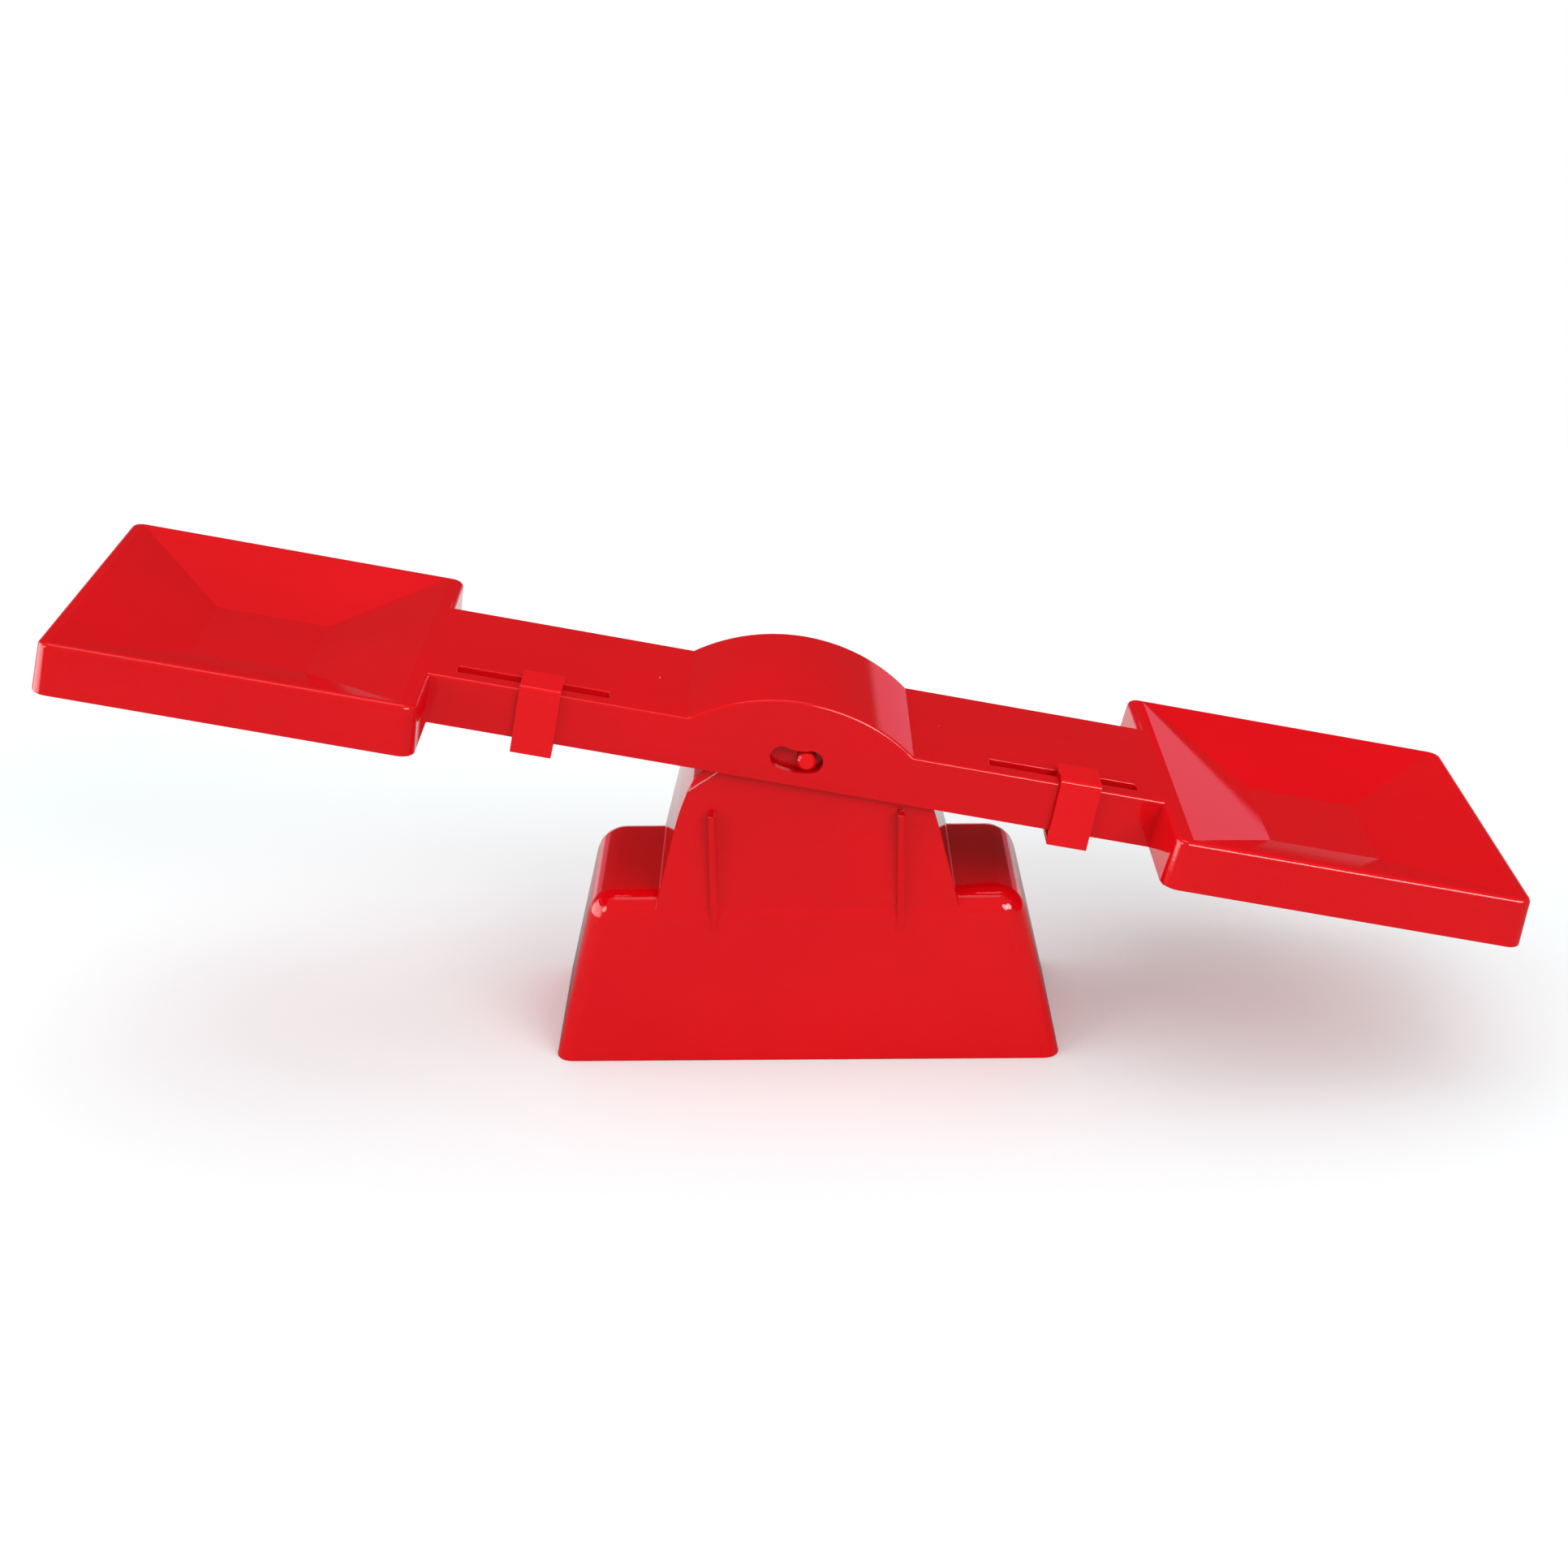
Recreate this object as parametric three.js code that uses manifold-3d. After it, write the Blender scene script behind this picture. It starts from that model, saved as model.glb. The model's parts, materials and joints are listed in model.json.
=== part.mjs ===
// Toy pan balance: a moulded beam with a square pan at each end rocks on the crest of a hollow stand.
// Millimetres, +Z up, +X along the beam, the riders on the -Y side.
// The origin is on the table, under the middle of the tilted part's length.
// The beam is drawn level, with its top face at height 0, and is then hung on the crest and tilted.

import * as THREE from 'three';
import { mergeVertices } from 'three/addons/utils/BufferGeometryUtils.js';
import Module from 'manifold-3d';

const wasm = await Module();
wasm.setup();

// Walls and clearances
const SKIN = 2.3;
const STAND_WALL = 2.5;
const CREST_GAP = 0.5;
const PIN_FIT = 0.1;
const SLOT_PLAY = 0.7;
const RIDER_PLAY = 0.35;
const STOP_GAP = 0.3;
const TOWER_PLAY = 0.6;
const CUT_PAST = 3;

// Beam
const BEAM_REACH = 215;
const BEAM_WIDTH = 58.2;
const BEAM_HEIGHT = 15.2;
const BEAM_EDGE_ROUND = 1;
const HUMP_LENGTH = 67.4;
const HUMP_RISE = 11.1;
const GATE_PIP_RADIUS = 1.1;
const GATE_PIP_HEIGHT = 0.4;
const GATE_PIP_OFFSET = 9;

// Pans
const PAN_LENGTH = 106;
const PAN_WIDTH = 113.4;
const PAN_CORNER = 4;
const PAN_EDGE_ROUND = 1.6;
const SKIRT_HEIGHT = 15.2;
const SKIRT_SPREAD = 0.8;
const RIM_INNER = 5.2;
const RIM_OUTER = 3.5;
const RIM_SIDE = 2.2;
const DISH_DEPTH = 10;
const DISH_FLOOR_LENGTH = 34;
const DISH_FLOOR_WIDTH = 40;

// Pivot
const CREST_HEIGHT = 112.8;
const REST_TILT = 11.1;
const STOP_TILT = 15;
const PIN_DROP = 15.9;
const PIN_RADIUS = 2.75;
const PIN_END_BEVEL = 0.7;
const SLOT_SWING = 16.3;

// Riders
const RIDER_WIDTH = 12.1;
const RIDER_THICKNESS = 1.6;
const RIDER_EDGE_ROUND = 1.2;
const RIDER_HANG = 4;
const RIDER_TAIL = 1.3;
const RIDER_TONGUE = 8;
const RIDER_HOOK = 1.6;
const RIDER_SLOT_HUMP_GAP = 23.3;
const RIDER_SLOT_PAN_GAP = 7.2;
const RIDER_SLOT_WIDTH = 4.9;
const RIDER_SLOT_EDGE = 5.3;
const LEFT_RIDER_SHIFT = 2.5;
const RIGHT_RIDER_SHIFT = 4.3;

// Stand
const PLINTH_HEIGHT = 53.6;
const PLINTH_FOOT_LENGTH = 154.6;
const PLINTH_FOOT_WIDTH = 67.5;
const PLINTH_TOP_LENGTH = 129.8;
const PLINTH_FOOT_CORNER = 5;
const PLINTH_ROUND = 7;
const PLINTH_CORNER_EXTRA = 0.6;
const TOWER_BEND_LENGTH = 79.2;
const TOWER_BEND_DROP = 38.8;
const TOWER_FLANK_RADIUS = 70;
const TOWER_FLANK_LEAN = 13.8;
const TOWER_FACE_LEAN = 5;
const TOWER_SETBACK = 0.6;
const CREST_RELIEF = 0.75;
const CREST_BAND = 3;
const CREST_STEP = 0.6;
const RIB_WIDTH = 2;
const RIB_PLACE = 28.1;
const RIB_PROUD = 1.15;
const RIB_FOOT_DROP = 10.7;

// Facets
const CORNER_STEPS = 6;
const ROUND_STEPS = 4;
const HUMP_STEPS = 28;
const ARC_STEPS = 8;
const PIN_SIDES = 28;
const PIP_SIDES = 14;
const WELD = 1e-4;

const RADIANS = Math.PI / 180;
const BODY_RED = { color: 0xd81c24, roughness: 0.3, metalness: 0 };
const BRIGHT_RED = { color: 0xec1c24, roughness: 0.34, metalness: 0 };

// Sizes that follow from the ones above
const pivotRise = HUMP_RISE - SKIN - CREST_GAP;
const panInnerEdge = BEAM_REACH - PAN_LENGTH;
const panCentre = BEAM_REACH - PAN_LENGTH / 2;
const humpRadius = (HUMP_RISE ** 2 + (HUMP_LENGTH / 2) ** 2) / (2 * HUMP_RISE);
const pinHeight = CREST_HEIGHT - PIN_DROP;
const slotHalfWidth = PIN_RADIUS + SLOT_PLAY;
const wallFace = BEAM_WIDTH / 2;
const riderSlotFront = -wallFace + RIDER_SLOT_EDGE;
const riderSlotBack = riderSlotFront + RIDER_SLOT_WIDTH;
const riderSlotStart = HUMP_LENGTH / 2 + RIDER_SLOT_HUMP_GAP;
const riderSlotEnd = panInnerEdge - RIDER_SLOT_PAN_GAP;
const riderSlotMiddle = (riderSlotStart + riderSlotEnd) / 2;
const stopTilt = STOP_TILT * RADIANS;
const flankLean = TOWER_FLANK_LEAN * RADIANS;
const faceLean = TOWER_FACE_LEAN * RADIANS;

function toSolid(geometry) {
  const bare = geometry.clone();
  bare.deleteAttribute('normal');
  bare.deleteAttribute('uv');
  const merged = mergeVertices(bare, WELD);
  const vertProperties = new Float32Array(merged.attributes.position.array);
  const triVerts = new Uint32Array(merged.index.array);
  return new wasm.Manifold(new wasm.Mesh({ numProp: 3, vertProperties, triVerts }));
}

function toMesh(name, solid, finish) {
  const { vertProperties, triVerts } = solid.getMesh();
  const geometry = new THREE.BufferGeometry();
  geometry.setAttribute('position', new THREE.BufferAttribute(vertProperties, 3));
  geometry.setIndex(new THREE.BufferAttribute(triVerts, 1));
  geometry.computeVertexNormals();
  const mesh = new THREE.Mesh(geometry, new THREE.MeshStandardMaterial(finish));
  mesh.name = name;
  return mesh;
}

// A closed skin through sections with equal counts of points, placed in space by a function.
function loft(sections, place) {
  const count = sections[0].points.length;
  const positions = sections.flatMap(({ points, level }) => points.flatMap((p) => place(p.x, p.y, level)));
  const index = [];
  for (let s = 0; s + 1 < sections.length; s += 1) {
    for (let i = 0; i < count; i += 1) {
      const here = s * count + i;
      const next = s * count + ((i + 1) % count);
      index.push(here, next, next + count, here, next + count, here + count);
    }
  }
  const lastRow = (sections.length - 1) * count;
  for (const [a, b, c] of THREE.ShapeUtils.triangulateShape(sections[0].points, [])) {
    index.push(a, c, b);
  }
  for (const [a, b, c] of THREE.ShapeUtils.triangulateShape(sections.at(-1).points, [])) {
    index.push(lastRow + a, lastRow + b, lastRow + c);
  }
  const geometry = new THREE.BufferGeometry();
  geometry.setAttribute('position', new THREE.Float32BufferAttribute(positions, 3));
  geometry.setIndex(index);
  return toSolid(geometry);
}

const upward = (x, y, level) => [x, y, level];
const towardsFront = (x, z, level) => [x, -level, z];

// A rectangle with round corners, run anticlockwise.
function roundedRectangle(centreX, halfLength, halfWidth, corner) {
  const points = [];
  const quarters = [[1, 1], [-1, 1], [-1, -1], [1, -1]];
  quarters.forEach(([sideX, sideY], quarter) => {
    for (let step = 0; step <= CORNER_STEPS; step += 1) {
      const angle = (quarter + step / CORNER_STEPS) * (Math.PI / 2);
      const x = centreX + sideX * (halfLength - corner) + corner * Math.cos(angle);
      const y = sideY * (halfWidth - corner) + corner * Math.sin(angle);
      points.push(new THREE.Vector2(x, y));
    }
  });
  return points;
}

// A sharp rectangle, run anticlockwise.
function rectangle(centreX, halfLength, halfWidth) {
  return [[1, 1], [-1, 1], [-1, -1], [1, -1]].map(
    ([sideX, sideY]) => new THREE.Vector2(centreX + sideX * halfLength, sideY * halfWidth),
  );
}

// A side-view shape, x to the right and z up, given a width across the beam.
function acrossBeam(shape, width) {
  const settings = { depth: width, bevelEnabled: false, curveSegments: ARC_STEPS };
  const geometry = new THREE.ExtrudeGeometry(shape, settings);
  geometry.translate(0, 0, -width / 2);
  geometry.rotateX(Math.PI / 2);
  return toSolid(geometry);
}

// An end-view shape, y to the right and z up, given a length along the beam.
function alongBeam(shape, length) {
  const settings = { depth: length, bevelEnabled: false, curveSegments: ROUND_STEPS };
  const geometry = new THREE.ExtrudeGeometry(shape, settings);
  geometry.translate(0, 0, -length / 2);
  const toBeam = new THREE.Matrix4().makeBasis(
    new THREE.Vector3(0, 1, 0),
    new THREE.Vector3(0, 0, 1),
    new THREE.Vector3(1, 0, 0),
  );
  geometry.applyMatrix4(toBeam);
  return toSolid(geometry);
}

function block(low, high) {
  const size = high.map((value, axis) => value - low[axis]);
  const geometry = new THREE.BoxGeometry(...size);
  geometry.translate(...low.map((value, axis) => value + size[axis] / 2));
  return toSolid(geometry);
}

// Quarter-round steps: how far the edge has drawn in, and how far it still has to rise.
function quarterRound(radius) {
  return Array.from({ length: ROUND_STEPS + 1 }, (_, step) => {
    const angle = (step / ROUND_STEPS) * (Math.PI / 2);
    return { drawnIn: radius * (1 - Math.cos(angle)), below: radius * (1 - Math.sin(angle)) };
  });
}

// Pan: a tray with a turned-down skirt whose upper edge is rounded
function panOuter(centre) {
  const halfLength = PAN_LENGTH / 2;
  const halfWidth = PAN_WIDTH / 2;
  const section = (level, spread) => ({
    points: roundedRectangle(centre, halfLength + spread, halfWidth + spread, PAN_CORNER + spread),
    level,
  });
  const foot = section(-SKIRT_HEIGHT, SKIRT_SPREAD);
  const edge = quarterRound(PAN_EDGE_ROUND).map(({ drawnIn, below }) => section(-below, -drawnIn));
  return loft([foot, ...edge], upward);
}

// The dish is four flat slopes down to a flat floor. A positive thickness gives its underside.
function dish(side, thickness) {
  const rimMiddle = side * (panCentre + (RIM_INNER - RIM_OUTER) / 2);
  const rimHalfLength = (PAN_LENGTH - RIM_INNER - RIM_OUTER) / 2;
  const rimHalfWidth = PAN_WIDTH / 2 - RIM_SIDE;
  const halfSpan = (rimHalf, floorHalf, level) => {
    const run = (rimHalf - floorHalf) / DISH_DEPTH;
    const sink = thickness * Math.hypot(1, 1 / run);
    return floorHalf + run * (level + DISH_DEPTH + sink);
  };
  const section = (level) => ({
    points: rectangle(
      rimMiddle,
      halfSpan(rimHalfLength, DISH_FLOOR_LENGTH / 2, level),
      halfSpan(rimHalfWidth, DISH_FLOOR_WIDTH / 2, level),
    ),
    level,
  });
  return loft([section(-DISH_DEPTH - thickness), section(CUT_PAST)], upward);
}

function panHollow(side) {
  const centre = side * panCentre;
  const section = (level, spread) => ({
    points: roundedRectangle(
      centre,
      PAN_LENGTH / 2 - SKIN + spread,
      PAN_WIDTH / 2 - SKIN + spread,
      PAN_CORNER - SKIN + spread,
    ),
    level,
  });
  const hollow = loft([section(-SKIRT_HEIGHT - CUT_PAST, SKIRT_SPREAD), section(-SKIN, 0)], upward);
  return hollow.subtract(dish(side, SKIN));
}

// Half of the hump's length where its arc, drawn in by a distance, meets the arm's face.
function humpHalf(drawnIn) {
  return Math.sqrt((humpRadius - drawnIn) ** 2 - (humpRadius - HUMP_RISE - drawnIn) ** 2);
}

// The beam's side view: flat arms and a round hump, drawn in by a distance from its top edge.
function beamProfile(halfLength, bottom, drawnIn) {
  const radius = humpRadius - drawnIn;
  const centre = HUMP_RISE - humpRadius;
  const swing = Math.asin(humpHalf(drawnIn) / radius);
  const hump = Array.from({ length: HUMP_STEPS + 1 }, (_, step) => {
    const angle = swing * (1 - (2 * step) / HUMP_STEPS);
    return new THREE.Vector2(radius * Math.sin(angle), centre + radius * Math.cos(angle));
  });
  return [
    new THREE.Vector2(-halfLength, bottom),
    new THREE.Vector2(halfLength, bottom),
    new THREE.Vector2(halfLength, -drawnIn),
    ...hump,
    new THREE.Vector2(-halfLength, -drawnIn),
  ];
}

function beamOuter() {
  const reach = panInnerEdge + RIM_INNER / 2;
  const nearEdge = quarterRound(BEAM_EDGE_ROUND).map(({ drawnIn, below }) => ({
    points: beamProfile(reach, -BEAM_HEIGHT, below),
    level: wallFace - drawnIn,
  }));
  const farEdge = nearEdge.map(({ points, level }) => ({ points, level: -level }));
  return loft([...farEdge, ...nearEdge.reverse()], towardsFront);
}

function beamHollow() {
  const points = beamProfile(panInnerEdge - SKIRT_SPREAD, -BEAM_HEIGHT - CUT_PAST, SKIN);
  const halfWidth = wallFace - SKIN;
  return loft([{ points, level: -halfWidth }, { points, level: halfWidth }], towardsFront);
}

// The pin's slot is an arc about the crest, so that the pin stays in its middle as the beam tilts.
function pinSlot() {
  const down = -Math.PI / 2;
  const swing = SLOT_SWING * RADIANS;
  const end = (angle) => [PIN_DROP * Math.cos(angle), pivotRise + PIN_DROP * Math.sin(angle)];
  const shape = new THREE.Shape();
  shape.absarc(0, pivotRise, PIN_DROP + slotHalfWidth, down - swing, down + swing, false);
  shape.absarc(...end(down + swing), slotHalfWidth, down + swing, down + swing + Math.PI, false);
  shape.absarc(0, pivotRise, PIN_DROP - slotHalfWidth, down + swing, down - swing, true);
  shape.absarc(...end(down - swing), slotHalfWidth, down - swing - Math.PI, down - swing, false);
  return acrossBeam(shape, BEAM_WIDTH + 2 * CUT_PAST);
}

function riderSlot(side) {
  const middle = side * riderSlotMiddle;
  const half = (riderSlotEnd - riderSlotStart) / 2;
  return block(
    [middle - half, riderSlotFront, -SKIN - CUT_PAST],
    [middle + half, riderSlotBack, CUT_PAST],
  );
}

// A low round mark on the arm's middle line, left where the plastic was fed in.
function gatePip(side) {
  const root = SKIN / 2;
  const height = GATE_PIP_HEIGHT + root;
  const geometry = new THREE.CylinderGeometry(GATE_PIP_RADIUS / 2, GATE_PIP_RADIUS, height, PIP_SIDES);
  geometry.rotateX(Math.PI / 2);
  geometry.translate(side * (HUMP_LENGTH / 2 + GATE_PIP_OFFSET), 0, height / 2 - root);
  return toSolid(geometry);
}

function beam() {
  const sides = [-1, 1];
  let solid = beamOuter();
  for (const side of sides) {
    solid = solid.add(panOuter(side * panCentre));
  }
  solid = solid.subtract(beamHollow()).subtract(pinSlot());
  for (const side of sides) {
    solid = solid.subtract(panHollow(side)).subtract(dish(side, 0));
    solid = solid.subtract(riderSlot(side)).add(gatePip(side));
  }
  return toMesh('beam', solid, BODY_RED);
}

// Rider: a clip that wraps the front wall, through the slot above and under the wall's lower edge
function riderShape() {
  const outside = -wallFace - RIDER_PLAY - RIDER_THICKNESS;
  const inside = outside + RIDER_THICKNESS;
  const top = RIDER_PLAY + RIDER_THICKNESS;
  const foot = -BEAM_HEIGHT - RIDER_HANG;
  const tail = riderSlotBack + RIDER_TAIL;
  const tongueFront = (riderSlotFront + riderSlotBack) / 2 - RIDER_THICKNESS / 2;
  const tongueBack = tongueFront + RIDER_THICKNESS;
  const hookTop = -SKIN - RIDER_PLAY;
  const hookTip = riderSlotFront - (RIDER_SLOT_EDGE - SKIN) / 2;
  const shape = new THREE.Shape();
  shape.moveTo(outside, foot);
  shape.lineTo(tongueBack, foot);
  shape.lineTo(tongueBack, foot + RIDER_THICKNESS);
  shape.lineTo(inside, foot + RIDER_THICKNESS);
  shape.lineTo(inside, RIDER_PLAY);
  shape.lineTo(tongueFront, RIDER_PLAY);
  shape.lineTo(tongueFront, hookTop);
  shape.lineTo(hookTip, hookTop);
  shape.lineTo(tongueFront, hookTop - RIDER_HOOK);
  shape.lineTo(tongueFront, -RIDER_TONGUE);
  shape.lineTo(tongueBack, -RIDER_TONGUE);
  shape.lineTo(tongueBack, RIDER_PLAY);
  shape.lineTo(tail, RIDER_PLAY);
  shape.lineTo(tail, top);
  const roundY = outside + RIDER_EDGE_ROUND;
  const roundZ = top - RIDER_EDGE_ROUND;
  shape.absarc(roundY, roundZ, RIDER_EDGE_ROUND, Math.PI / 2, Math.PI, false);
  shape.closePath();
  return shape;
}

function rider(name, place) {
  const mesh = toMesh(name, alongBeam(riderShape(), RIDER_WIDTH), BRIGHT_RED);
  mesh.position.x = place;
  return mesh;
}

// Where a point under the beam comes to lie, from the crest, when its own side is at the stop.
function atStop(along, height) {
  const rise = height - pivotRise;
  return {
    x: along * Math.cos(stopTilt) + rise * Math.sin(stopTilt),
    z: rise * Math.cos(stopTilt) - along * Math.sin(stopTilt),
  };
}

// The crest's slopes pass just under the crease where the hump's ceiling meets the arm's.
function crestPitch() {
  const { x, z } = atStop(humpHalf(SKIN), -SKIN);
  return Math.atan2(-z, x) + CREST_RELIEF * RADIANS;
}

// The ribs' top catches the lower edge of the beam's wall at the end of its tilt.
function ribTop() {
  const outerCorner = RIB_PLACE + RIB_WIDTH / 2;
  const edge = atStop(0, -BEAM_HEIGHT);
  return CREST_HEIGHT + edge.z - (outerCorner - edge.x) * Math.tan(stopTilt) - STOP_GAP;
}

function towerHalfDepth(height) {
  return wallFace - SKIN - TOWER_PLAY - (height - ribTop()) * Math.tan(faceLean);
}

// Stand: a leaning plinth, a little proud of the tower's faces at its rounded top. An inset gives its hollow.
function plinth(inset, footHeight) {
  const round = PLINTH_ROUND - inset;
  const topWidth = 2 * (towerHalfDepth(PLINTH_HEIGHT) + TOWER_SETBACK);
  const section = (height, drawnIn, corner) => {
    const share = height / PLINTH_HEIGHT;
    const length = THREE.MathUtils.lerp(PLINTH_FOOT_LENGTH, PLINTH_TOP_LENGTH, share);
    const width = THREE.MathUtils.lerp(PLINTH_FOOT_WIDTH, topWidth, share);
    const points = roundedRectangle(0, length / 2 - inset - drawnIn, width / 2 - inset - drawnIn, corner);
    return { points, level: height };
  };
  const foot = section(footHeight, 0, PLINTH_FOOT_CORNER - inset);
  const edge = quarterRound(round).map(({ drawnIn, below }) =>
    section(PLINTH_HEIGHT - inset - below, drawnIn, round + PLINTH_CORNER_EXTRA - drawnIn),
  );
  return loft([foot, ...edge], upward);
}

// The tower's front view: leaning flanks that curve in under a pitched crest
function towerOutline(inset, crest) {
  const pitch = crestPitch();
  const foot = PLINTH_HEIGHT - PLINTH_ROUND - CUT_PAST;
  const bendHeight = CREST_HEIGHT - TOWER_BEND_DROP;
  const centreX = TOWER_BEND_LENGTH / 2 - TOWER_FLANK_RADIUS * Math.cos(flankLean);
  const centreZ = bendHeight - TOWER_FLANK_RADIUS * Math.sin(flankLean);
  const radius = TOWER_FLANK_RADIUS - inset;
  const crestOffset = (crest - centreZ) * Math.cos(pitch) - centreX * Math.sin(pitch);
  const meet = Math.asin(crestOffset / radius) - pitch;
  const flankStart = centreX + radius * Math.cos(flankLean);
  const footHalf = flankStart + (centreZ + radius * Math.sin(flankLean) - foot) * Math.tan(flankLean);
  const shape = new THREE.Shape();
  shape.absarc(centreX, centreZ, radius, flankLean, meet, false);
  shape.lineTo(0, crest);
  shape.absarc(-centreX, centreZ, radius, Math.PI - meet, Math.PI - flankLean, false);
  shape.lineTo(-footHalf, foot);
  shape.lineTo(footHalf, foot);
  shape.closePath();
  return shape;
}

// The tower's end view: front and back faces that lean towards each other
function towerFaces(inset) {
  const low = PLINTH_HEIGHT - PLINTH_ROUND - 2 * CUT_PAST;
  const high = CREST_HEIGHT + CUT_PAST;
  const lowHalf = towerHalfDepth(low) - inset;
  const highHalf = towerHalfDepth(high) - inset;
  const shape = new THREE.Shape();
  shape.moveTo(-lowHalf, low);
  shape.lineTo(lowHalf, low);
  shape.lineTo(highHalf, high);
  shape.lineTo(-highHalf, high);
  shape.closePath();
  return alongBeam(shape, PLINTH_FOOT_LENGTH);
}

// A tower cut back by an inset on its flanks and faces, with its crest lowered square to the slope
function towerBody(flankInset, faceInset, crestInset) {
  const crest = CREST_HEIGHT - crestInset / Math.cos(crestPitch());
  return acrossBeam(towerOutline(flankInset, crest), PLINTH_FOOT_WIDTH).intersect(towerFaces(faceInset));
}

function rib(side) {
  const front = wallFace + RIB_PROUD;
  const middle = side * RIB_PLACE;
  return block(
    [middle - RIB_WIDTH / 2, -front, PLINTH_HEIGHT - RIB_FOOT_DROP],
    [middle + RIB_WIDTH / 2, front, ribTop()],
  );
}

function base() {
  const hollowInset = STAND_WALL + CREST_STEP;
  const pinHole = roundBar(PIN_RADIUS + PIN_FIT, BEAM_WIDTH + 2 * CUT_PAST);
  pinHole.translate(0, 0, pinHeight);
  let solid = plinth(0, 0);
  solid = solid.add(towerBody(0, 0, CREST_BAND));
  solid = solid.add(towerBody(0, CREST_STEP, 0));
  solid = solid.add(rib(-1)).add(rib(1));
  solid = solid.subtract(plinth(STAND_WALL, -CUT_PAST));
  solid = solid.subtract(towerBody(hollowInset, hollowInset, hollowInset));
  solid = solid.subtract(toSolid(pinHole));
  return toMesh('base', solid, BODY_RED);
}

// A bar across the beam with bevelled ends
function roundBar(radius, length) {
  const half = length / 2;
  const profile = [
    new THREE.Vector2(0, -half),
    new THREE.Vector2(radius - PIN_END_BEVEL, -half),
    new THREE.Vector2(radius, -half + PIN_END_BEVEL),
    new THREE.Vector2(radius, half - PIN_END_BEVEL),
    new THREE.Vector2(radius - PIN_END_BEVEL, half),
    new THREE.Vector2(0, half),
  ];
  return new THREE.LatheGeometry(profile, PIN_SIDES);
}

function pivotPin() {
  const mesh = toMesh('pivot_pin', toSolid(roundBar(PIN_RADIUS, BEAM_WIDTH)), BRIGHT_RED);
  mesh.position.z = pinHeight;
  return mesh;
}

const balance = new THREE.Group();
balance.add(base(), pivotPin());

const rocker = new THREE.Group();
rocker.position.z = CREST_HEIGHT;
rocker.rotation.y = REST_TILT * RADIANS;
balance.add(rocker);

const level = new THREE.Group();
level.position.z = -pivotRise;
level.add(
  beam(),
  rider('rider_left', -riderSlotMiddle + LEFT_RIDER_SHIFT),
  rider('rider_right', riderSlotMiddle + RIGHT_RIDER_SHIFT),
);
rocker.add(level);

const extent = new THREE.Box3().setFromObject(balance, true);
balance.position.x = -(extent.min.x + extent.max.x) / 2;

export default balance;
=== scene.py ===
# Toy pan balance: moulded plastic looks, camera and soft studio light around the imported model.
# Metres, in the row frame. Angles in degrees unless a name says otherwise.

import json
import math

import bmesh
import bpy
from mathutils import Matrix, Vector

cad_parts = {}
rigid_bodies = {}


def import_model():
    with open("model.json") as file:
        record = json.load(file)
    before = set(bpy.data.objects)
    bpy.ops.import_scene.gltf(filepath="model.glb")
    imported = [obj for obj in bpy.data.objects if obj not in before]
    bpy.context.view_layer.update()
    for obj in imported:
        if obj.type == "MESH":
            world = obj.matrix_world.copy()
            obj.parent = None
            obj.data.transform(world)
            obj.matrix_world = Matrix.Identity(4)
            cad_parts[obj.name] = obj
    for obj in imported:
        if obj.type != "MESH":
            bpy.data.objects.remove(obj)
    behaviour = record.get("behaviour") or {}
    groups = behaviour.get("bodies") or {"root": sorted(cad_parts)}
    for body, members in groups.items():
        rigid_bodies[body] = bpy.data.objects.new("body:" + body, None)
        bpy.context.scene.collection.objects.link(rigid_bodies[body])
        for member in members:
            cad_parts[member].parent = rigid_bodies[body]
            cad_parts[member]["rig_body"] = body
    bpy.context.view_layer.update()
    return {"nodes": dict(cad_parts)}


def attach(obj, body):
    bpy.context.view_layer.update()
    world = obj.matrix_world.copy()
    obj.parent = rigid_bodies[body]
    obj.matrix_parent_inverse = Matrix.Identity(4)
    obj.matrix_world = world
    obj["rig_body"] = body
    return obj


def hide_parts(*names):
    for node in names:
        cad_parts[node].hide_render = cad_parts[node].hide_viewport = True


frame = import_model()

# Camera, from the outline of the object in the photograph
IMAGE_SIDE = 1932
FOCAL_PIXELS = 3035.8
SENSOR_WIDTH = 36.0
CAMERA_PLACE = Vector((-0.0003, -0.6959, 0.3747))
CAMERA_PITCH = -23.109
CAMERA_ROLL = 0.506
CAMERA_YAW = 0.236
CAMERA_CLIP = (0.01, 100.0)

# Moulded edges: which facets join into faces, which edges are sharp or creases, and how edges are rounded.
# The room that a rounding needs is a multiple of its size.
WELD_DISTANCE = 2e-6
FLAT_ANGLE = 0.4
UNDERSIDE_NORMAL_Z = -0.9
SHARP_ANGLE = 32.0
CREASE_ANGLE = 5.0
CREASE_FACE_AREA = 1e-4
BODY_EDGE_ROUND = 0.00045
CLIP_EDGE_ROUND = 0.0003
EDGE_SEGMENTS = 3
EDGE_ROOM = 2.4
ROUND_PROFILE = 0.5
BROAD_FACE_WEIGHT = 80

# Plastics: linear colours and the span of their roughness. Each noise has a scale and a detail, and a span
# of its values that is stretched over the shades or the roughness.
BODY_RED = (0.690, 0.0015, 0.0050)
BRIGHT_RED = (0.820, 0.0015, 0.0050)
BODY_ROUGHNESS = (0.04, 0.08)
BRIGHT_ROUGHNESS = (0.08, 0.14)
PLASTIC_IOR = 1.5
FLOW_NOISE = (16.0, 3.0)
FLOW_SPAN = (0.2, 0.8)
FLOW_SHADES = (0.955, 1.045)
GLOSS_NOISE = (60.0, 4.0)
GLOSS_SPAN = (0.1, 0.9)
SKIN_NOISE = (900.0, 2.0)
SKIN_STRENGTH = 0.08
SKIN_DEPTH = 0.0002

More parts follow.
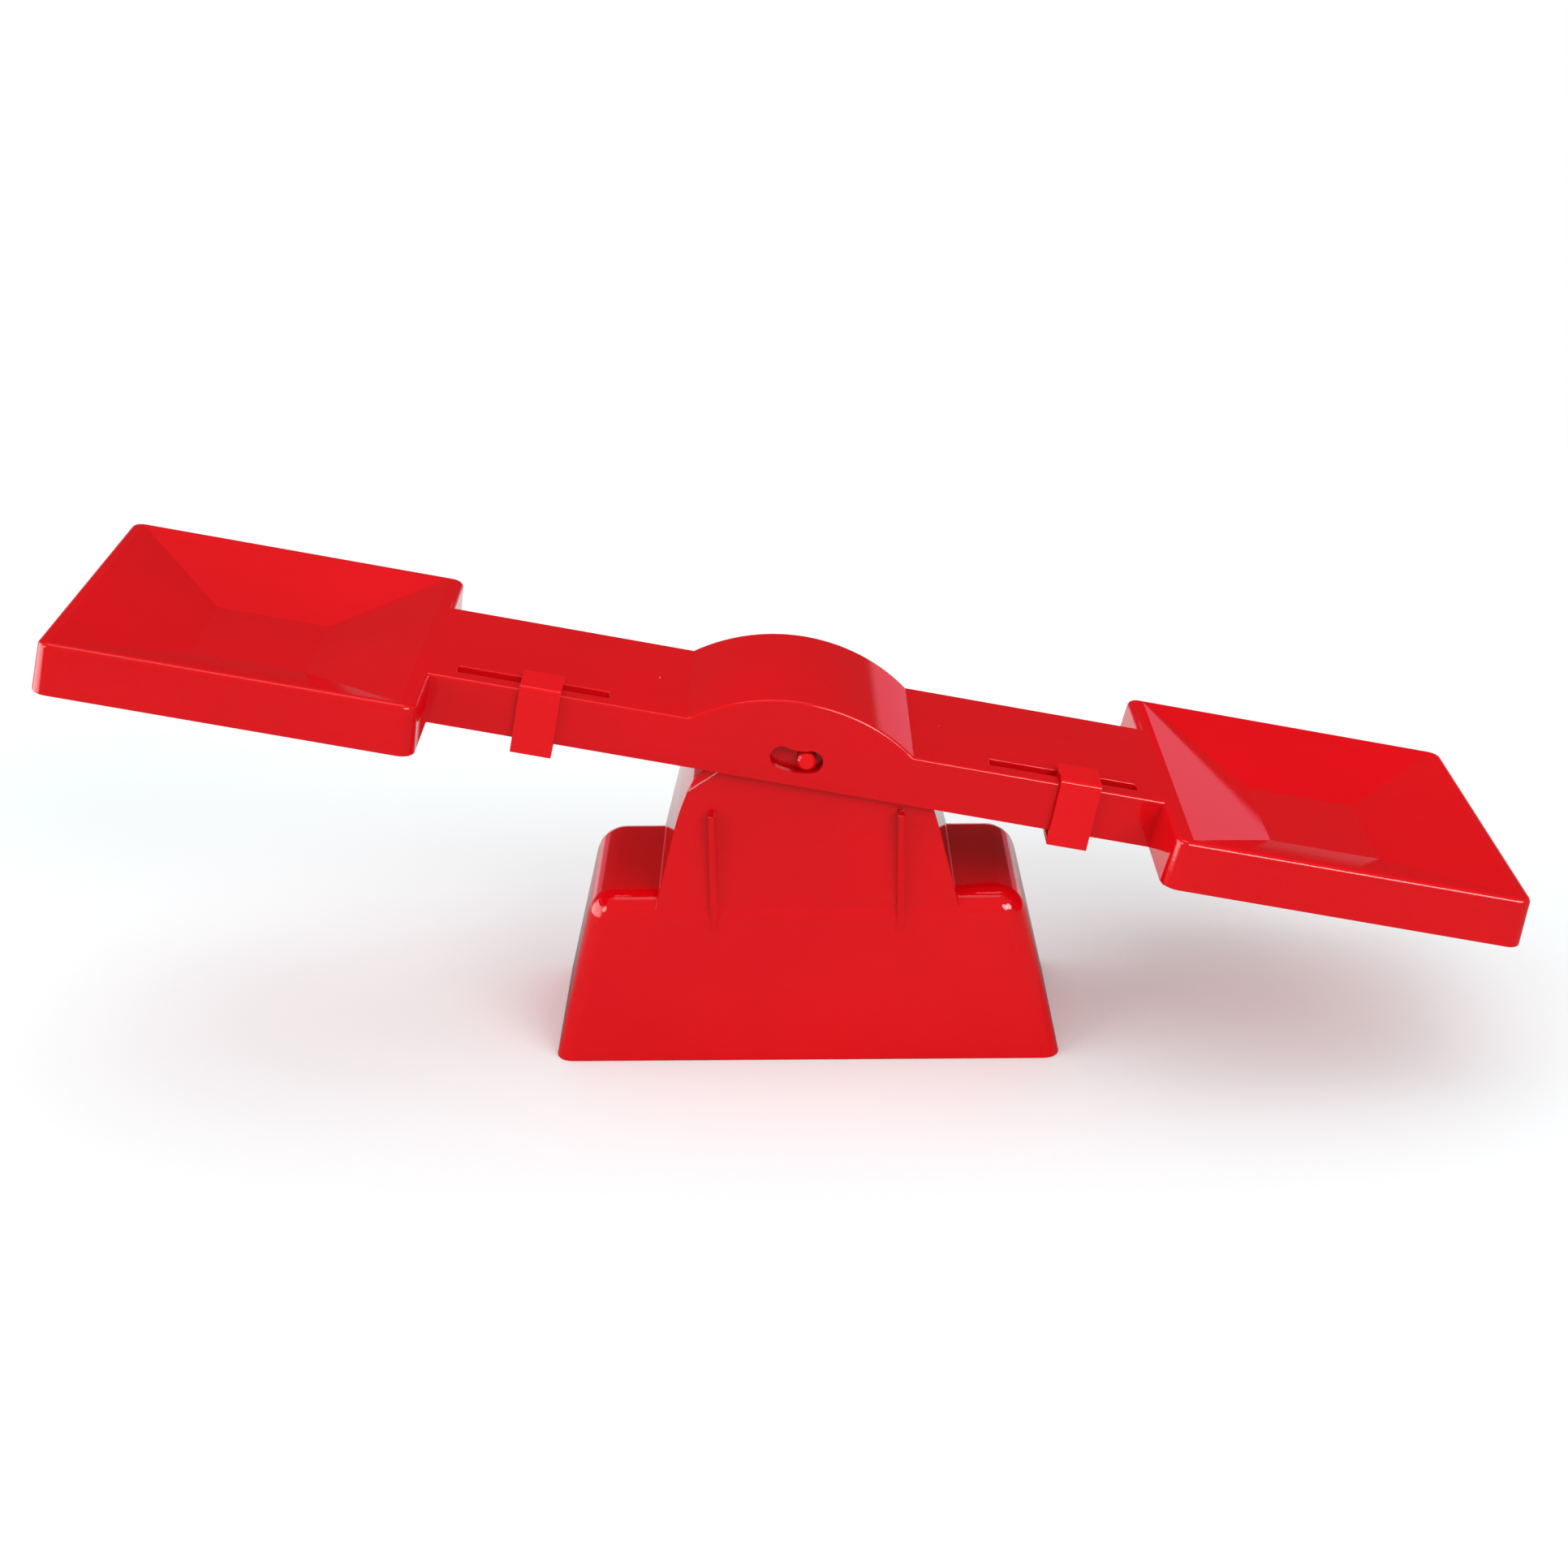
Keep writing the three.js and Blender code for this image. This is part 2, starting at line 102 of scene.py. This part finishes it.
# Plain tones of the stage
WHITE = (1.0, 1.0, 1.0, 1.0)
BLACK = (0.0, 0.0, 0.0, 1.0)

# Table: its cool tint, and how pale it is to the eye, in reflections of its near and far part,
# and as it throws light back. In reflections its near part carries painted shade that fades out towards its
# far part
TABLE_TINT = (0.94, 0.99, 1.0, 1.0)
TABLE_HALF = 0.65
TABLE_SEEN = 0.96
TABLE_NEAR_MIRRORED_SHADED = 0.24
TABLE_FAR_MIRRORED = 0.8
TABLE_SHADED_TO_LIT_SPAN = (0.0, 0.25)
TABLE_BOUNCE = 0.68

# Room as light: a dome from its foot to its top, and the share of the softboxes' brightness that adds to it
DOME_LEVELS = (0.46, 1.02)
SOFTBOX_SHARE = 0.5

# Room in reflections: dim, and behind the table a dark wall above a rose-coloured bench
ROOM_MIRRORED = 0.25
WALL_MIRRORED = 0.06
BENCH_MIRRORED = 0.9
BENCH_ROSE = (1.0, 0.31, 0.42, 1.0)
BENCH_TOP = (5.0, 7.0)
WALL_PATCH = ((0.0, 1.0, 0.4), 50, 62)

# Softboxes: where each lies, the angles over which its edge fades, and its brightness
SOFTBOXES = [
    ((0.0, 0.0, 1.0), 8, 22, 1.3),
    ((0.0, 0.55, 0.83), 8, 24, 0.08),
    ((-0.7, -0.55, 0.45), 6, 12, 7.0),
    ((0.38, -0.8, 0.46), 7, 13, 10.5),
    ((0.62, -0.62, 0.46), 7, 13, 10.5),
    ((-1.0, 0.0, 0.05), 20, 40, 4.2),
]


def node(tree, kind, **settings):
    made = tree.nodes.new(kind)
    for name, value in settings.items():
        setattr(made, name, value)
    return made


# Feeds a socket with a number or another node's output.
def feed(tree, socket, source):
    if isinstance(source, float):
        socket.default_value = source
    else:
        tree.links.new(source, socket)


# A node tree's map range, from a value's span to another span.
def map_range(tree, value, from_low, from_high, to_low, to_high, ease="LINEAR"):
    ranged = node(tree, "ShaderNodeMapRange", interpolation_type=ease)
    tree.links.new(value, ranged.inputs["Value"])
    spans = {"From Min": from_low, "From Max": from_high, "To Min": to_low, "To Max": to_high}
    for socket, number in spans.items():
        ranged.inputs[socket].default_value = number
    return ranged.outputs["Result"]


def noise(tree, place, scale, detail):
    texture = node(tree, "ShaderNodeTexNoise")
    texture.inputs["Scale"].default_value = scale
    texture.inputs["Detail"].default_value = detail
    tree.links.new(place, texture.inputs["Vector"])
    return texture.outputs["Fac"]


def shade(colour, level):
    return (*(channel * level for channel in colour), 1.0)


# Glossy moulded plastic: slow colour drift from the melt's flow, a fine skin and a slightly uneven gloss
def moulded_plastic(name, colour, roughness):
    material = bpy.data.materials.new(name)
    material.use_nodes = True
    tree = material.node_tree
    surface = tree.nodes["Principled BSDF"]
    place = node(tree, "ShaderNodeTexCoord").outputs["Object"]

    drift = map_range(tree, noise(tree, place, *FLOW_NOISE), *FLOW_SPAN, 0.0, 1.0, "SMOOTHSTEP")
    tone = node(tree, "ShaderNodeMix", data_type="RGBA")
    tone.inputs["A"].default_value = shade(colour, FLOW_SHADES[0])
    tone.inputs["B"].default_value = shade(colour, FLOW_SHADES[1])
    tree.links.new(drift, tone.inputs["Factor"])
    tree.links.new(tone.outputs["Result"], surface.inputs["Base Color"])

    gloss = map_range(tree, noise(tree, place, *GLOSS_NOISE), *GLOSS_SPAN, *roughness)
    tree.links.new(gloss, surface.inputs["Roughness"])

    skin = node(tree, "ShaderNodeBump")
    skin.inputs["Strength"].default_value = SKIN_STRENGTH
    skin.inputs["Distance"].default_value = SKIN_DEPTH
    tree.links.new(noise(tree, place, *SKIN_NOISE), skin.inputs["Height"])
    tree.links.new(skin.outputs["Normal"], surface.inputs["Normal"])

    surface.inputs["IOR"].default_value = PLASTIC_IOR
    return material


# Whether an edge lies within faces that look down, such as the rims of an open underside
def is_underneath(edge):
    return all(face.normal.z < UNDERSIDE_NORMAL_Z for face in edge.link_faces)


# Whether an edge is sharp, or a crease between two broad faces rather than a step of a rounding.
def is_sharp(edge):
    angle = math.degrees(edge.calc_face_angle(0))
    broad = all(face.calc_area() > CREASE_FACE_AREA for face in edge.link_faces)
    return angle > SHARP_ANGLE or (broad and angle > CREASE_ANGLE)


# Whether an edge stands out and the edges that meet it are long enough to leave room for a rounding.
def can_round(edge, edge_round):
    beside = {other for vert in edge.verts for other in vert.link_edges}
    roomy = all(other.calc_length() > EDGE_ROOM * edge_round for other in beside)
    return roomy and math.degrees(edge.calc_face_angle(0)) > SHARP_ANGLE


# A copy of a CAD node with its facets joined into convex faces and its sharp edges rounded or kept crisp
def moulding(node_name, piece_name, edge_round, material):
    source = frame["nodes"][node_name]
    mesh = bpy.data.meshes.new(piece_name)
    work = bmesh.new()
    work.from_mesh(source.data)
    bmesh.ops.remove_doubles(work, verts=work.verts, dist=WELD_DISTANCE)
    joined = [edge for edge in work.edges if not is_underneath(edge)]
    bmesh.ops.dissolve_limit(work, angle_limit=math.radians(FLAT_ANGLE), verts=work.verts, edges=joined)
    for edge in work.edges:
        edge.smooth = not is_sharp(edge)
    rounded = [edge for edge in work.edges if can_round(edge, edge_round)]
    for edge in rounded:
        edge.smooth = True
    bmesh.ops.bevel(
        work, geom=rounded, offset=edge_round, offset_type="OFFSET", segments=EDGE_SEGMENTS,
        profile=ROUND_PROFILE, affect="EDGES", clamp_overlap=False, miter_outer="ARC",
    )
    bmesh.ops.connect_verts_concave(work, faces=work.faces)
    for face in work.faces:
        face.smooth = True
    work.to_mesh(mesh)
    work.free()
    mesh.materials.append(material)
    piece = bpy.data.objects.new(piece_name, mesh)
    bpy.context.scene.collection.objects.link(piece)
    weighted = piece.modifiers.new("even_normals", "WEIGHTED_NORMAL")
    weighted.mode = "FACE_AREA"
    weighted.weight = BROAD_FACE_WEIGHT
    weighted.keep_sharp = True
    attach(piece, source["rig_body"])
    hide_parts(node_name)
    return piece


def make_camera():
    data = bpy.data.cameras.new("photo_camera")
    data.sensor_width = SENSOR_WIDTH
    data.lens = FOCAL_PIXELS / IMAGE_SIDE * SENSOR_WIDTH
    data.clip_start, data.clip_end = CAMERA_CLIP
    camera = bpy.data.objects.new("photo_camera", data)
    bpy.context.scene.collection.objects.link(camera)
    turn = Matrix.Rotation(math.radians(CAMERA_YAW), 4, "Z")
    turn @= Matrix.Rotation(math.radians(CAMERA_PITCH), 4, "X")
    turn @= Matrix.Rotation(math.radians(CAMERA_ROLL), 4, "Y")
    level = Matrix.Rotation(math.radians(90), 4, "X")
    camera.matrix_world = Matrix.Translation(CAMERA_PLACE) @ turn @ level
    bpy.context.scene.camera = camera


# A value times a gain, added to a level. Each may be a number or another node's output.
def scale_and_add(tree, value, gain, level):
    sum_node = node(tree, "ShaderNodeMath", operation="MULTIPLY_ADD")
    for socket, source in zip(sum_node.inputs, (value, gain, level)):
        feed(tree, socket, source)
    return sum_node.outputs["Value"]


# A white table that keeps the shadows
def make_table():
    material = bpy.data.materials.new("white_table")
    material.use_nodes = True
    tree = material.node_tree
    tree.nodes.clear()
    path = node(tree, "ShaderNodeLightPath")
    place = node(tree, "ShaderNodeSeparateXYZ")
    tree.links.new(node(tree, "ShaderNodeTexCoord").outputs["Object"], place.inputs["Vector"])
    # Painted shade: in reflections the table's near part is greyer than its far part
    mirrored = map_range(
        tree, place.outputs["Y"], *TABLE_SHADED_TO_LIT_SPAN,
        TABLE_NEAR_MIRRORED_SHADED - TABLE_BOUNCE, TABLE_FAR_MIRRORED - TABLE_BOUNCE,
    )
    paleness = scale_and_add(tree, path.outputs["Is Glossy Ray"], mirrored, TABLE_BOUNCE)
    paleness = scale_and_add(tree, path.outputs["Is Camera Ray"], TABLE_SEEN - TABLE_BOUNCE, paleness)
    tinted = node(tree, "ShaderNodeMix", data_type="RGBA")
    tinted.inputs["A"].default_value = BLACK
    tinted.inputs["B"].default_value = TABLE_TINT
    tree.links.new(paleness, tinted.inputs["Factor"])
    paper = node(tree, "ShaderNodeBsdfDiffuse")
    tree.links.new(tinted.outputs["Result"], paper.inputs["Color"])
    output = node(tree, "ShaderNodeOutputMaterial")
    tree.links.new(paper.outputs["BSDF"], output.inputs["Surface"])

    mesh = bpy.data.meshes.new("table")
    corners = [(-1, -1), (1, -1), (1, 1), (-1, 1)]
    mesh.from_pydata([(x * TABLE_HALF, y * TABLE_HALF, 0.0) for x, y in corners], [], [(0, 1, 2, 3)])
    mesh.materials.append(material)
    table = bpy.data.objects.new("table", mesh)
    bpy.context.scene.collection.objects.link(table)


# How much a direction lies within a soft-edged round patch of the surroundings, from 0 to 1.
def patch(tree, direction, centre, inner, outer):
    towards = node(tree, "ShaderNodeVectorMath", operation="DOT_PRODUCT")
    tree.links.new(direction, towards.inputs[0])
    towards.inputs[1].default_value = Vector(centre).normalized()
    edge = (math.cos(math.radians(outer)), math.cos(math.radians(inner)))
    return map_range(tree, towards.outputs["Value"], *edge, 0.0, 1.0, "SMOOTHSTEP")


# A mix of two values by a third. Each of the two may be a number or another node's output.
def blend(tree, share, low, high):
    mixed = node(tree, "ShaderNodeMix", data_type="FLOAT")
    tree.links.new(share, mixed.inputs["Factor"])
    feed(tree, mixed.inputs["A"], low)
    feed(tree, mixed.inputs["B"], high)
    return mixed.outputs["Result"]


# The room as reflections show it: dim, with a dark wall and a bench behind the table
def mirrored_room(tree, softboxes, behind, below_wall):
    wall = blend(tree, below_wall, WALL_MIRRORED, BENCH_MIRRORED)
    room = blend(tree, behind, ROOM_MIRRORED, wall)
    return scale_and_add(tree, softboxes, 1.0, room)


# The room as light: a dome that grows brighter towards its top, and the softboxes
def room_light(tree, softboxes, height):
    dome = map_range(tree, height, 0.0, 1.0, *DOME_LEVELS)
    return scale_and_add(tree, softboxes, SOFTBOX_SHARE, dome)


# White, or the bench's rose colour where reflections show the bench
def room_tone(tree, glossy, behind, below_wall):
    bench = scale_and_add(tree, behind, below_wall, 0.0)
    bench = scale_and_add(tree, bench, glossy, 0.0)
    tone = node(tree, "ShaderNodeMix", data_type="RGBA")
    tone.inputs["A"].default_value = WHITE
    tone.inputs["B"].default_value = BENCH_ROSE
    tree.links.new(bench, tone.inputs["Factor"])
    return tone.outputs["Result"]


# The room around the table: an even light, dimmer in reflections, and white straight to the camera
def make_room():
    world = bpy.data.worlds.new("studio")
    world.use_nodes = True
    bpy.context.scene.world = world
    tree = world.node_tree
    background = tree.nodes["Background"]
    path = node(tree, "ShaderNodeLightPath")
    direction = node(tree, "ShaderNodeTexCoord").outputs["Generated"]
    glossy = path.outputs["Is Glossy Ray"]
    axes = node(tree, "ShaderNodeSeparateXYZ")
    tree.links.new(direction, axes.inputs["Vector"])
    height = axes.outputs["Z"]

    softboxes = 0.0
    for centre, inner, outer, gain in SOFTBOXES:
        softboxes = scale_and_add(tree, patch(tree, direction, centre, inner, outer), gain, softboxes)

    bench_top = [math.sin(math.radians(angle)) for angle in BENCH_TOP]
    below_wall = map_range(tree, height, *bench_top, 1.0, 0.0, "SMOOTHSTEP")
    behind = patch(tree, direction, *WALL_PATCH)
    mirrored = mirrored_room(tree, softboxes, behind, below_wall)
    level = blend(tree, glossy, room_light(tree, softboxes, height), mirrored)

    lit = node(tree, "ShaderNodeBackground")
    tree.links.new(room_tone(tree, glossy, behind, below_wall), lit.inputs["Color"])
    tree.links.new(level, lit.inputs["Strength"])
    background.inputs["Color"].default_value = WHITE
    background.inputs["Strength"].default_value = 1.0
    either = node(tree, "ShaderNodeMixShader")
    tree.links.new(path.outputs["Is Camera Ray"], either.inputs["Fac"])
    tree.links.new(lit.outputs["Background"], either.inputs[1])
    tree.links.new(background.outputs["Background"], either.inputs[2])
    tree.links.new(either.outputs["Shader"], tree.nodes["World Output"].inputs["Surface"])


body_plastic = moulded_plastic("red_body_plastic", BODY_RED, BODY_ROUGHNESS)
bright_plastic = moulded_plastic("bright_red_plastic", BRIGHT_RED, BRIGHT_ROUGHNESS)
moulding("base", "stand_moulding", BODY_EDGE_ROUND, body_plastic)
moulding("beam", "beam_moulding", BODY_EDGE_ROUND, body_plastic)
moulding("pivot_pin", "pivot_bar", CLIP_EDGE_ROUND, bright_plastic)
moulding("rider_left", "left_clip", CLIP_EDGE_ROUND, bright_plastic)
moulding("rider_right", "right_clip", CLIP_EDGE_ROUND, bright_plastic)
make_camera()
make_table()
make_room()

bpy.context.scene.view_settings.view_transform = "Standard"
